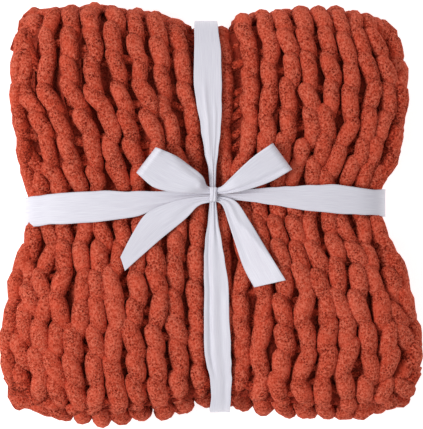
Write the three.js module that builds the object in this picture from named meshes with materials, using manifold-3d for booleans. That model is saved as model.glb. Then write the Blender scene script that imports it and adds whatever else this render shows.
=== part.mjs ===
// A chunky knit throw, folded in a square bundle and tied crosswise with a satin ribbon and a bow.
// Millimetres, +Z up, the bundle lying flat on z = 0. The knitted ropes run along Y.
import * as THREE from "three";
import Module from "manifold-3d";
import { mergeVertices } from "three/addons/utils/BufferGeometryUtils.js";

// ---- driving dimensions -------------------------------------------------------------------
const HALF_WIDTH = 200; // bundle, from the ribbon to its widest edge along X
const HALF_LENGTH = 203; // the same along Y
const MIDDLE_HEIGHT = 72; // height at which the outline is widest
const CROWN = 76; // top of the lobes above the middle height
const LAYERS = 4; // thick layers, each a strip of three plies
const FLOOR_OVERSHOOT = 7; // how far the round underside is pressed flat
const ROPES = 20; // knitted columns across the top
const ROPE_VALLEY = 7; // depth between two ropes
const ROPE_SHOULDER = 0.45; // half width of a rope's flat crown, as a share of half its pitch
const ROPE_SWAY = 2; // how far ropes wander sideways
const TIE_DEPTH = 20; // how deep the ribbon sinks between the lobes
const TIE_FLAT = 16; // half width of the flat bottom of that valley
const TIE_SPREAD = 40; // distance over which the lobes rise again
const CHANNEL_DEPTH = 5.5; // recess under the bundle that keeps the ribbon off the floor
const CHANNEL_RISE = 16; // distance over which that recess runs out
const SLIT = 2.6; // space between two layers
const SLIT_FLARE = 14; // how much wider it is at its mouth, where the layers' edges are round
const SLIT_BEND = 4; // extra space inside a fold
const RIBBON = 1.2; // ribbon thickness
const CLEAR = 0.7; // ribbon to knit
const LAP = 0.4; // ribbon to ribbon
const KNOT = { width: 7, length: 17, height: 6 };
const SHEET_LIFT = 2.6; // underside of the bow above the crowns of the ropes
const LOOP_PUFF = 9; // how far a bow loop's upper ply stands over its lower ply

// The four edges of the bundle: how far each reaches out, at a distance along it from the ribbon
// that draws it in.
const LEFT_EDGE = [
  { at: -135, reach: 203 },
  { at: -75, reach: 194 },
  { at: -18, reach: 178 },
  { at: 18, reach: 178 },
  { at: 60, reach: 186.5 },
  { at: 115, reach: 193 },
];
const RIGHT_EDGE = [
  { at: -145, reach: 204.5 },
  { at: -80, reach: 191 },
  { at: -18, reach: 166 },
  { at: 18, reach: 166 },
  { at: 52, reach: 182 },
  { at: 110, reach: 190 },
  { at: 200, reach: 187 },
];
const TOP_EDGE = [
  { at: -115, reach: 203.5 },
  { at: -52, reach: 196.5 },
  { at: -17, reach: 184 },
  { at: 17, reach: 184 },
  { at: 46, reach: 196 },
  { at: 115, reach: 201 },
  { at: 200, reach: 198 },
];
const BOTTOM_EDGE = [
  { at: -170, reach: 199 },
  { at: -115, reach: 203.5 },
  { at: -60, reach: 198 },
  { at: -17, reach: 189 },
  { at: 17, reach: 189 },
  { at: 60, reach: 196 },
  { at: 130, reach: 198 },
];

// How far the ropes of each half stand out from their even places, as a share of the half width, at
// a share of the half length. They lie closer where the crosswise ribbon draws them in.
const LEFT_SPREAD = [
  { at: -1, out: 0 },
  { at: -0.47, out: 0.03 },
  { at: 0.1, out: 0.05 },
  { at: 0.65, out: 0.11 },
  { at: 1, out: 0.1 },
];
const RIGHT_SPREAD = [
  { at: -0.95, out: -0.04 },
  { at: -0.47, out: 0.01 },
  { at: 0, out: 0.035 },
  { at: 0.62, out: 0.09 },
  { at: 1, out: 0.05 },
];

// Share by which each corner is drawn in, by the side and the end that it joins.
const CORNER_PULL = { left: { top: 0.083, bottom: 0.1 }, right: { top: 0.095, bottom: 0.12 } };

// Half widths of the ribbon along each band, at a share of the half length from the knot.
const LENGTHWISE_WIDTHS = [
  { at: -1, half: 11 },
  { at: -0.5, half: 12 },
  { at: -0.28, half: 9.5 },
  { at: -0.1, half: 3.5 },
  { at: 0.06, half: 3 },
  { at: 0.22, half: 7 },
  { at: 0.5, half: 12.5 },
  { at: 1, half: 12.5 },
];
const CROSSWISE_WIDTHS = [
  { at: -1, half: 13 },
  { at: -0.5, half: 13.5 },
  { at: -0.25, half: 10 },
  { at: -0.04, half: 5 },
  { at: 0.06, half: 5 },
  { at: 0.3, half: 9.5 },
  { at: 0.6, half: 14 },
  { at: 1, half: 12.5 },
];

// Plans of the bow's four pieces, from the knot outwards: the two edges of the ribbon, row by row.
const BOW = {
  bow_loop_left: [
    { ax: -3.4, ay: 25, bx: -3.6, by: 17.4 },
    { ax: -7, ay: 34, bx: -18.6, by: 20.2 },
    { ax: -23.5, ay: 47, bx: -38, by: 21.6 },
    { ax: -38.5, ay: 55.5, bx: -56.6, by: 28.5 },
    { ax: -53, ay: 63, bx: -70, by: 39.4 },
  ],
  bow_loop_right: [
    { ax: 7, ay: 24, bx: 7.2, by: 18 },
    { ax: 11, ay: 27.5, bx: 19.4, by: 18 },
    { ax: 25.5, ay: 40, bx: 34.6, by: 22.6 },
    { ax: 42, ay: 53.6, bx: 51, by: 29 },
    { ax: 58.6, ay: 67, bx: 76, by: 44 },
  ],
  bow_tail_left: [
    { ax: -3.6, ay: 16.6, bx: -3.6, by: 10.6 },
    { ax: -20.2, ay: 15.6, bx: -12.5, by: 7.2 },
    { ax: -41, ay: 10.6, bx: -23.5, by: -4.6 },
    { ax: -61, ay: -1, bx: -48, by: -23.4 },
    { ax: -74.8, ay: -18.4, bx: -65.2, by: -39 },
    { ax: -85.6, ay: -41, bx: -81.6, by: -53 },
  ],
  bow_tail_right: [
    { ax: 7, ay: 11, bx: 7.2, by: 17 },
    { ax: 12, ay: 7.4, bx: 24, by: 11.2 },
    { ax: 18.2, ay: -13.4, bx: 37.4, by: -7.7 },
    { ax: 25.5, ay: -37, bx: 50, by: -27.2 },
    { ax: 32.8, ay: -54, bx: 60.6, by: -45 },
    { ax: 41.5, ay: -69.6, bx: 71.4, by: -63.2 },
  ],
};

// ---- the form of the bundle ---------------------------------------------------------------
const clamp = (value, low, high) => Math.min(high, Math.max(low, value));
const smooth = (t) => t * t * (3 - 2 * t);
const roundOff = (t) => Math.pow(1 - Math.pow(Math.min(Math.abs(t), 1), 4), 0.25);

// A value out of a short table, eased from row to row.
function fromTable(rows, at, column) {
  if (at <= rows[0].at) return rows[0][column];
  for (let k = 1; k < rows.length; k++) {
    const a = rows[k - 1];
    const b = rows[k];
    if (at <= b.at) return a[column] + (b[column] - a[column]) * smooth((at - a.at) / (b.at - a.at));
  }
  return rows[rows.length - 1][column];
}

// 1 along a ribbon, falling to 0 beside it. `away` is the distance from the ribbon's middle line.
const tieValley = (away) => Math.exp(-Math.pow(Math.max(0, Math.abs(away) - TIE_FLAT) / TIE_SPREAD, 2));
const channel = (away) => 1 - smooth(clamp((Math.abs(away) - TIE_FLAT) / CHANNEL_RISE, 0, 1));

// Middle lines of the two bands: the lengthwise one leans a little, the crosswise one sags from the knot.
const lengthwiseX = (y) => 2.2 - 0.028 * (y - 18);
const crosswiseY = (x) => 18.2 - (x < 0 ? 15.5 : 8) * smooth(clamp(Math.abs(x) / HALF_WIDTH, 0, 1));

// u and v run from -1 to 1 across and along the bundle, and are 0 on the ribbon's middle lines.
function plan(u, v) {
  const pull = CORNER_PULL[u < 0 ? "left" : "right"][v < 0 ? "bottom" : "top"];
  const corner = (a, b) => 1 - pull * Math.pow(Math.min(Math.abs(a), 1), 8) * Math.min(Math.pow(Math.abs(b), 3), 1);
  const y0 = v * HALF_LENGTH;
  const halfX = fromTable(u < 0 ? LEFT_EDGE : RIGHT_EDGE, y0, "reach");
  const halfY = fromTable(v < 0 ? BOTTOM_EDGE : TOP_EDGE, u * HALF_WIDTH, "reach");
  const hold = (t) => 1 - Math.min(t * t, 1);
  const sway = ROPE_SWAY * Math.sin(23 * u + 7 * v) * hold(u) * hold(v);
  return {
    x: lengthwiseX(y0) * hold(u) + u * halfX * corner(v, u) + sway,
    y: crosswiseY(u * HALF_WIDTH) * hold(v) + v * halfY * corner(u, v),
  };
}

// How far the surface has sunk under the ribbons at (u, v), from 0 to 1.
const sunk = (u, v) => Math.max(tieValley(u * HALF_WIDTH), tieValley(v * HALF_LENGTH));

// Outward direction of the rounded bundle, for the upper side or the lower one.
function outward(u, v, upper) {
  const s = roundOff(u) * roundOff(v);
  return new THREE.Vector3(
    Math.pow(u, 3) / HALF_WIDTH,
    Math.pow(v, 3) / HALF_LENGTH,
    ((upper ? 1 : -1) * Math.max(Math.pow(s, 3), 0.02)) / CROWN,
  ).normalize();
}

// A point of the outer surface on the crown of a rope.
function crownPoint(u, v, upper) {
  const { x, y } = plan(u, v);
  const s = roundOff(u) * roundOff(v);
  if (upper) return new THREE.Vector3(x, y, MIDDLE_HEIGHT + s * (CROWN - TIE_DEPTH * sunk(u, v)));
  const recess = CHANNEL_DEPTH * Math.max(channel(u * HALF_WIDTH), channel(v * HALF_LENGTH));
  return new THREE.Vector3(x, y, Math.max(recess, MIDDLE_HEIGHT - s * (MIDDLE_HEIGHT + FLOOR_OVERSHOOT)));
}

// The same point, `groove` mm deep between two ropes. What is pressed on the floor keeps its height.
function skinPoint(u, v, upper, groove) {
  const p = crownPoint(u, v, upper);
  if (!groove) return p;
  if (!upper && p.z < CHANNEL_DEPTH + 1) return p;
  return p.addScaledVector(outward(u, v, upper), -groove);
}

// Where a rope with the even place u lies at v. The outermost ropes keep to the edge, and those under
// the lengthwise ribbon keep to its middle line.
function course(u, v) {
  const out = fromTable(u < 0 ? LEFT_SPREAD : RIGHT_SPREAD, v, "out");
  const near = smooth(clamp((Math.abs(u) - 0.07) * 10, 0, 1));
  return u + Math.sign(u) * out * near * (1 - Math.pow(Math.min(Math.abs(u), 1), 6));
}

// Height of the ropes' crowns over any (x, y) of the upper side.
function crownHeight(x, y) {
  let u = x / HALF_WIDTH;
  let v = y / HALF_LENGTH;
  for (let k = 0; k < 12; k++) {
    const p = plan(u, v);
    u = clamp(u + (x - p.x) / HALF_WIDTH, -1, 1);
    v = clamp(v + (y - p.y) / HALF_LENGTH, -1, 1);
  }
  return crownPoint(u, v, true).z;
}

// ---- mesh helpers -------------------------------------------------------------------------
const wasm = await Module();
wasm.setup();

// A closed body out of a list of points and a list of quads (indices, facing outwards).
function bodyGeometry(points, quads) {
  const flat = [];
  for (const [a, b, c, d] of quads)
    for (const k of [a, b, c, a, c, d]) flat.push(points[k].x, points[k].y, points[k].z);
  const geometry = new THREE.BufferGeometry();
  geometry.setAttribute("position", new THREE.Float32BufferAttribute(flat, 3));
  return mergeVertices(geometry, 1e-4);
}

// A slab between an upper and a lower grid of points, closed round its rim.
function slabGeometry(columns, rows, upperAt, lowerAt) {
  const points = [];
  for (const at of [upperAt, lowerAt])
    for (let i = 0; i < columns; i++) for (let j = 0; j < rows; j++) points.push(at(i, j));
  const up = (i, j) => i * rows + j;
  const low = (i, j) => columns * rows + i * rows + j;
  const quads = [];
  for (let i = 0; i + 1 < columns; i++)
    for (let j = 0; j + 1 < rows; j++) {
      quads.push([up(i, j), up(i + 1, j), up(i + 1, j + 1), up(i, j + 1)]);
      quads.push([low(i, j), low(i, j + 1), low(i + 1, j + 1), low(i + 1, j)]);
    }
  for (let i = 0; i + 1 < columns; i++) {
    quads.push([up(i, 0), low(i, 0), low(i + 1, 0), up(i + 1, 0)]);
    quads.push([up(i + 1, rows - 1), low(i + 1, rows - 1), low(i, rows - 1), up(i, rows - 1)]);
  }
  for (let j = 0; j + 1 < rows; j++) {
    quads.push([up(0, j + 1), low(0, j + 1), low(0, j), up(0, j)]);
    quads.push([up(columns - 1, j), low(columns - 1, j), low(columns - 1, j + 1), up(columns - 1, j + 1)]);
  }
  return bodyGeometry(points, quads);
}

const toSolid = (geometry) =>
  new wasm.Manifold(
    new wasm.Mesh({
      numProp: 3,
      vertProperties: geometry.attributes.position.array,
      triVerts: new Uint32Array(geometry.index.array),
    }),
  );

function toGeometry(solid) {
  const mesh = solid.getMesh();
  const geometry = new THREE.BufferGeometry();
  geometry.setAttribute("position", new THREE.BufferAttribute(mesh.vertProperties, 3));
  geometry.setIndex(new THREE.BufferAttribute(mesh.triVerts, 1));
  return geometry;
}

// ---- the folded throw ---------------------------------------------------------------------
const EDGE = 0.999;
const ropePitch = 2 / ROPES;

// Places across the bundle: for each rope a valley and the two shoulders of its crown. The ribbon
// presses the middle pair together, so no valley is left between them.
const stations = [];
for (let rope = 0; rope < ROPES; rope++) {
  const middle = -1 + (rope + 0.5) * ropePitch;
  const shoulder = (ROPE_SHOULDER * ropePitch) / 2;
  if (rope > 0) stations.push({ u: middle - ropePitch / 2, groove: 2 * rope === ROPES ? 0 : ROPE_VALLEY });
  stations.push({ u: middle - shoulder, groove: 0 }, { u: middle + shoulder, groove: 0 });
}
stations.unshift({ u: -EDGE, groove: 0 }, { u: -0.99, groove: 0 });
stations.push({ u: 0.99, groove: 0 }, { u: EDGE, groove: 0 });

// Places along it, closer together at the ends and beside the crosswise ribbon.
const halfRows = [0.08, 0.15, 0.23, 0.34, 0.52, 0.7, 0.83, 0.915, 0.968, EDGE];
const rows = [...halfRows.map((v) => -v).reverse(), 0, ...halfRows];

// The space between two layers: a thin curved slab, open at both sides and at one end. It stops short
// of the other end, where the knit turns round and comes back.
function slitGeometry(level, openEnd) {
  const across = [0, 0.1, 0.25, 0.6, 0.9, 0.95, 1, 1.12];
  const along = [-0.84, -0.81, -0.75, -0.4, -0.12, 0.12, 0.4, 0.9, 0.95, 1, 1.12];
  const us = [...across.slice(1).map((u) => -u).reverse(), ...across];
  const vs = openEnd > 0 ? along : along.map((v) => -v).reverse();
  const share = level / LAYERS;
  const heightAt = (u, v) => {
    const held = roundOff(clamp(u, -0.85, 0.85)) * roundOff(clamp(v, -0.85, 0.85));
    const under = CHANNEL_DEPTH * Math.max(channel(u * HALF_WIDTH), channel(v * HALF_LENGTH));
    const top = MIDDLE_HEIGHT + held * (CROWN - TIE_DEPTH * sunk(u, v));
    return under * (1 - share) + top * share;
  };
  const halfSpace = (u, v) => {
    const mouth = clamp((Math.max(Math.abs(u), v * openEnd) - 0.9) / 0.1, 0, 1.2);
    const bend = SLIT_BEND * (1 - clamp(Math.abs(v * openEnd + 0.79) / 0.08, 0, 1));
    return (SLIT + bend + SLIT_FLARE * mouth * mouth) / 2;
  };
  const at = (side) => (i, j) => {
    const { x, y } = plan(us[i], vs[j]);
    return new THREE.Vector3(x, y, heightAt(us[i], vs[j]) + side * halfSpace(us[i], vs[j]));
  };
  return slabGeometry(us.length, vs.length, at(1), at(-1));
}

function blanketGeometry() {
  const at = (upper) => (i, j) => {
    const u = upper ? course(stations[i].u, rows[j]) : stations[i].u;
    return skinPoint(u, rows[j], upper, stations[i].groove);
  };
  let solid = toSolid(slabGeometry(stations.length, rows.length, at(true), at(false)));
  for (let level = 1; level < LAYERS; level++) {
    const openEnd = level % 2 ? -1 : 1;
    solid = solid.subtract(toSolid(slitGeometry(level, openEnd)));
  }
  return toGeometry(solid);
}

// ---- the ribbon ---------------------------------------------------------------------------
// A closed ring of ribbon. Each stop gives its point on the knit at both edges, and the way outwards.
function ringGeometry(stops) {
  const points = [];
  for (const { left, right, out, lift } of stops)
    for (const [edge, height] of [[left, lift], [right, lift], [right, lift + RIBBON], [left, lift + RIBBON]])
      points.push(edge.clone().addScaledVector(out, height));
  const quads = [];
  stops.forEach((_, k) => {
    const here = 4 * k;
    const next = 4 * ((k + 1) % stops.length);
    for (let side = 0; side < 4; side++) {
      const other = (side + 1) % 4;
      quads.push([here + side, here + other, next + other, next + side]);
    }
  });
  return bodyGeometry(points, quads);
}

function lengthwiseBand() {
  const stops = [];
  const addStop = (v, upper) => {
    const half = upper ? fromTable(LENGTHWISE_WIDTHS, v, "half") : LENGTHWISE_WIDTHS[0].half;
    const middle = crownPoint(0, v, upper);
    const out = outward(0, v, upper).setX(0).normalize();
    const overCross = Math.abs(v) < 0.09 ? RIBBON + LAP : 0;
    stops.push({
      left: middle.clone().setX(middle.x - half),
      right: middle.clone().setX(middle.x + half),
      out,
      lift: CLEAR + overCross,
    });
  };
  for (const v of rows) addStop(v, true);
  for (const v of [...rows].reverse()) addStop(v, false);
  return ringGeometry(stops.reverse());
}

function crosswiseBand() {
  const crowns = stations.filter((s) => !s.groove).map((s) => s.u);
  const stops = [];
  const addStop = (u, upper) => {
    const half = upper ? fromTable(CROSSWISE_WIDTHS, u, "half") : CROSSWISE_WIDTHS[0].half;
    const out = outward(u, 0, upper).setY(0).normalize();
    const v = half / HALF_LENGTH;
    stops.push({ left: crownPoint(u, -v, upper), right: crownPoint(u, v, upper), out, lift: CLEAR });
  };
  for (const u of crowns) addStop(course(u, 0), true);
  for (const u of [...crowns].reverse()) addStop(u, false);
  return ringGeometry(stops);
}

const knotPlace = plan(0, 0);
const knotFoot = crownPoint(0, 0, true).z + CLEAR + 2 * (RIBBON + LAP);

// The knot: a small pad with round edges, a little thicker in the middle of its length.
function knotGeometry() {
  const columns = [-1, -0.8, -0.3, 0.3, 0.8, 1];
  const lines = [-1, -0.85, -0.4, 0, 0.4, 0.85, 1];
  const at = (upper) => (i, j) => {
    const a = columns[i];
    const b = lines[j];
    const swell = roundOff(a * 0.97) * roundOff(b * 0.97);
    const z = knotFoot + (KNOT.height / 2) * (1 + (upper ? swell : -Math.min(1, 1.6 * swell)));
    return new THREE.Vector3(
      knotPlace.x + (a * KNOT.width * (1 + 0.15 * b * b)) / 2,
      knotPlace.y + (b * KNOT.length) / 2,
      z,
    );
  };
  return slabGeometry(columns.length, lines.length, at(true), at(false));
}

// A point of a bow piece's plan: `along` runs from the knot to the end, `across` between its edges.
function bowPlan(table, along, across) {
  const place = along * (table.length - 1);
  const k = Math.min(Math.floor(place), table.length - 2);
  const t = place - k;
  const row = (n) => table[clamp(n, 0, table.length - 1)];
  const curve = (key) => {
    const [p, a, b, q] = [row(k - 1)[key], row(k)[key], row(k + 1)[key], row(k + 2)[key]];
    const slopeA = (b - p) / 2;
    const slopeB = (q - a) / 2;
    const t2 = t * t;
    const t3 = t2 * t;
    return (2 * t3 - 3 * t2 + 1) * a + (t3 - 2 * t2 + t) * slopeA + (3 * t2 - 2 * t3) * b + (t3 - t2) * slopeB;
  };
  return {
    x: curve("ax") * (1 - across) + curve("bx") * across,
    y: curve("ay") * (1 - across) + curve("by") * across,
  };
}

const ACROSS = 4; // strips between a bow piece's two edges
const nearKnot = (along) => 1 - smooth(clamp(along / 0.35, 0, 1));

// A tail lies on the crowns of the ropes, raised at the knot where it comes out of it.
function tailGeometry(table) {
  const steps = 15;
  const at = (side) => (i, j) => {
    const along = i / steps;
    const { x, y } = bowPlan(table, along, j / ACROSS);
    const z = Math.max(crownHeight(x, y) + SHEET_LIFT, knotFoot * nearKnot(along));
    return new THREE.Vector3(x, y, z + (side > 0 ? RIBBON : 0));
  };
  return orient(slabGeometry(steps + 1, ACROSS + 1, at(1), at(-1)));
}

// A loop goes out from the knot on its upper ply, bends round and comes back on its lower ply.
function loopGeometry(table) {
  const steps = 9;
  const bends = 4;
  const inner = 0.1; // where the lower ply ends, short of the knot
  const places = [];
  for (let k = 0; k <= steps; k++) places.push({ along: k / steps, turn: 0 });
  for (let k = 1; k < bends; k++) places.push({ along: 1, turn: (Math.PI * k) / bends });
  for (let k = 0; k <= steps; k++) places.push({ along: 1 - ((1 - inner) * k) / steps, turn: Math.PI });
  const at = (side) => (i, j) => {
    const { along, turn } = places[i];
    const across = j / ACROSS;
    const end = bowPlan(table, 1, across);
    const before = bowPlan(table, 0.9, across);
    const { x, y } = bowPlan(table, along, across);
    const reach = Math.hypot(end.x - before.x, end.y - before.y);
    const gap = 2 + LOOP_PUFF * smooth(clamp(along / 0.45, 0, 1));
    const radius = gap / 2;
    const rise = radius * Math.cos(turn) + (side * RIBBON * Math.cos(turn)) / 2;
    const push = (radius + (side * RIBBON) / 2) * Math.sin(turn);
    const ground = Math.max(crownHeight(x, y) + SHEET_LIFT, (knotFoot + LAP) * nearKnot(along));
    return new THREE.Vector3(
      x + (push * (end.x - before.x)) / reach,
      y + (push * (end.y - before.y)) / reach,
      ground + RIBBON / 2 + radius + rise,
    );
  };
  return orient(slabGeometry(places.length, ACROSS + 1, at(1), at(-1)));
}

// Turns a body's faces round where its plan was listed the other way.
function orient(geometry) {
  const p = geometry.attributes.position;
  const index = geometry.index.array;
  const [a, b, c] = [new THREE.Vector3(), new THREE.Vector3(), new THREE.Vector3()];
  let volume = 0;
  for (let k = 0; k < index.length; k += 3) {
    a.fromBufferAttribute(p, index[k]);
    b.fromBufferAttribute(p, index[k + 1]);
    c.fromBufferAttribute(p, index[k + 2]);
    volume += a.dot(b.cross(c));
  }
  if (volume < 0)
    for (let k = 0; k < index.length; k += 3) [index[k + 1], index[k + 2]] = [index[k + 2], index[k + 1]];
  return geometry;
}

// ---- the assembled bundle -----------------------------------------------------------------
const knit = new THREE.MeshStandardMaterial({ color: 0xb8432b, roughness: 0.95, metalness: 0 });
const satin = new THREE.MeshStandardMaterial({ color: 0xe9e6f0, roughness: 0.4, metalness: 0 });

const bundle = new THREE.Group();
function addPiece(name, geometry, material) {
  const mesh = new THREE.Mesh(geometry, material);
  mesh.name = name;
  bundle.add(mesh);
}

addPiece("blanket", blanketGeometry(), knit);
addPiece("ribbon_lengthwise", orient(lengthwiseBand()), satin);
addPiece("ribbon_crosswise", orient(crosswiseBand()), satin);
addPiece("ribbon_knot", knotGeometry(), satin);
for (const name of ["bow_loop_left", "bow_loop_right"]) addPiece(name, loopGeometry(BOW[name]), satin);
for (const name of ["bow_tail_left", "bow_tail_right"]) addPiece(name, tailGeometry(BOW[name]), satin);

// The frame's origin is under the middle of the bundle's box.
const box = new THREE.Box3().setFromObject(bundle);
bundle.position.set(-(box.min.x + box.max.x) / 2, -(box.min.y + box.max.y) / 2, -box.min.z);

export default bundle;
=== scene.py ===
"""A chunky chenille throw, folded in a square bundle and tied crosswise with a white satin ribbon.

The knitted ropes run along Y, over the folds at both ends. Everything is in metres, in the frame
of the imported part: +Z up, the bundle lying flat on z = 0.
"""

import logging
import math
from dataclasses import dataclass, field
from enum import Enum
from typing import Callable, ClassVar, Sequence

import bmesh
import bpy
import numpy as np
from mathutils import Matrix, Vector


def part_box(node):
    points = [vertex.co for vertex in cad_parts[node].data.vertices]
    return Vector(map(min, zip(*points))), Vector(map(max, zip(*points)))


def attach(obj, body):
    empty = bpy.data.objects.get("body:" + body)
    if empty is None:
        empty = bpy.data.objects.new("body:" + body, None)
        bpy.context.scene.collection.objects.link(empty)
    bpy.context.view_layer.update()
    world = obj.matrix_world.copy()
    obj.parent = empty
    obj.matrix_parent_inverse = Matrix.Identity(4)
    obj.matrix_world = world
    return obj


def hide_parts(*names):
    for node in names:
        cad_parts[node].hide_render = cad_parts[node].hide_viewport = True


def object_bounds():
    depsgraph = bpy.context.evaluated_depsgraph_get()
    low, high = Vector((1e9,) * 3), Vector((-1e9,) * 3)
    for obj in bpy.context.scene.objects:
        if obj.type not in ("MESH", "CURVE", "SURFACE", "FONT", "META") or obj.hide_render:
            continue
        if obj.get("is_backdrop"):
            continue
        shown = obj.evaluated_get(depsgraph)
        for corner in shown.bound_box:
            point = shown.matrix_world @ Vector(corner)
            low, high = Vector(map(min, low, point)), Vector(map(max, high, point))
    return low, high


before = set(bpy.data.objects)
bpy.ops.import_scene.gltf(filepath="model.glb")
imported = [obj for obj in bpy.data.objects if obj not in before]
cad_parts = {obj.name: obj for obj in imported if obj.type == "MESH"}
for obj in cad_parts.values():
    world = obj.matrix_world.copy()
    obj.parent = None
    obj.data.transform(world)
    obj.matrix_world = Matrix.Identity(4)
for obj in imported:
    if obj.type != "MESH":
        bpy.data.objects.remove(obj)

log = logging.getLogger("bundle")
Array = np.ndarray


class Slot(Enum):
    """Material slots of the record."""

    KNIT = "chenille_knit"
    SATIN = "satin_ribbon"


class Turn(Enum):
    """The three stretches of the folded cloth that show, each named by where it lies."""

    TOP = "top"
    MIDDLE = "middle"
    BOTTOM = "bottom"


# ---- small helpers -------------------------------------------------------------------------
def smooth(t: Array) -> Array:
    """Eases 0 to 1 with level ends."""
    t = np.clip(t, 0.0, 1.0)
    return t * t * (3.0 - 2.0 * t)


def unit(vectors: Array) -> Array:
    """Scales each vector of an array to length 1."""
    return vectors / np.maximum(np.linalg.norm(vectors, axis=-1, keepdims=True), 1e-12)


def paired(u: Array, v: Array) -> tuple[Array, Array]:
    """Gives two arrays, or numbers, the same shape."""
    return np.broadcast_arrays(np.asarray(u, float), np.asarray(v, float))


def read_rows(at: Array, places: Array, rows: Array) -> Array:
    """Reads rows of vectors, one at each place, at places between them."""
    return np.stack([np.interp(at, places, rows[:, k]) for k in range(rows.shape[1])], axis=1)


def eased(stops: Sequence[tuple[float, float]], at: Array) -> Array:
    """Reads a short table of (place, value), eased from stop to stop.

    Args:
        stops: places in rising order, each with its value.
        at: the places to read.

    Returns:
        The values there, held constant past both ends.
    """
    places = np.array([stop[0] for stop in stops])
    values = np.array([stop[1] for stop in stops])
    at = np.clip(at, places[0], places[-1])
    k = np.clip(np.searchsorted(places, at, side="right") - 1, 0, len(places) - 2)
    share = smooth((at - places[k]) / (places[k + 1] - places[k]))
    return values[k] + (values[k + 1] - values[k]) * share


def resampled(points: Array, normals: Array, step: float) -> tuple[Array, Array, Array]:
    """Puts points at even steps along a line.

    Args:
        points: the line, one row a point.
        normals: a direction for each point.
        step: the wanted distance between two points.

    Returns:
        The new points, their directions, and the distance run at each.
    """
    run = np.concatenate([[0.0], np.cumsum(np.linalg.norm(np.diff(points, axis=0), axis=1))])
    count = max(int(round(run[-1] / step)), 4) + 1
    places = np.linspace(0.0, run[-1], count)
    return read_rows(places, run, points), unit(read_rows(places, run, normals)), places


def softened(values: Array, reach: int) -> Array:
    """Rounds the corners of a line by a running bell-shaped mean that leaves its ends in place.

    Args:
        values: one row a point.
        reach: how many points to each side are taken in.

    Returns:
        The rounded line.
    """
    weights = np.hanning(2 * reach + 3)[1:-1]
    weights = weights / weights.sum()
    first = 2 * values[0] - values[reach:0:-1]
    last = 2 * values[-1] - values[-2 : -reach - 2 : -1]
    padded = np.concatenate([first, values, last])
    return np.stack([np.convolve(padded[:, k], weights, "valid") for k in range(values.shape[1])], axis=1)


def mesh_object(name: str, mesh: bpy.types.Mesh) -> bpy.types.Object:
    """Puts a mesh in the scene as an object at the origin.

    Args:
        name: the object's name.
        mesh: its mesh.

    Returns:
        The object.
    """
    thing = bpy.data.objects.new(name, mesh)
    bpy.context.scene.collection.objects.link(thing)
    return thing


def finished_mesh(name: str, points: list, faces: list, finish: bpy.types.Material) -> bpy.types.Mesh:
    """Makes a mesh with a finish.

    Args:
        name: the mesh's name.
        points: its points.
        faces: its faces, as rows of point numbers.
        finish: its material.

    Returns:
        The mesh.
    """
    mesh = bpy.data.meshes.new(name)
    mesh.from_pydata(points, [], faces)
    mesh.materials.append(finish)
    return mesh


def store(mesh: bpy.types.Mesh, label: str, values: Array) -> None:
    """Stores a number, or a vector, for each point of a mesh.

    Args:
        mesh: takes them.
        label: their name.
        values: a number, or a row of three, for each point.
    """
    kind, key = ("FLOAT", "value") if values.ndim == 1 else ("FLOAT_VECTOR", "vector")
    layer = mesh.attributes.new(label, kind, "POINT")
    layer.data.foreach_set(key, values.astype(np.float32).ravel())


def box_centre(node: str) -> Array:
    """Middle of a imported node's box."""
    low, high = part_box(node)
    return (np.array(low) + np.array(high)) / 2.0


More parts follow.
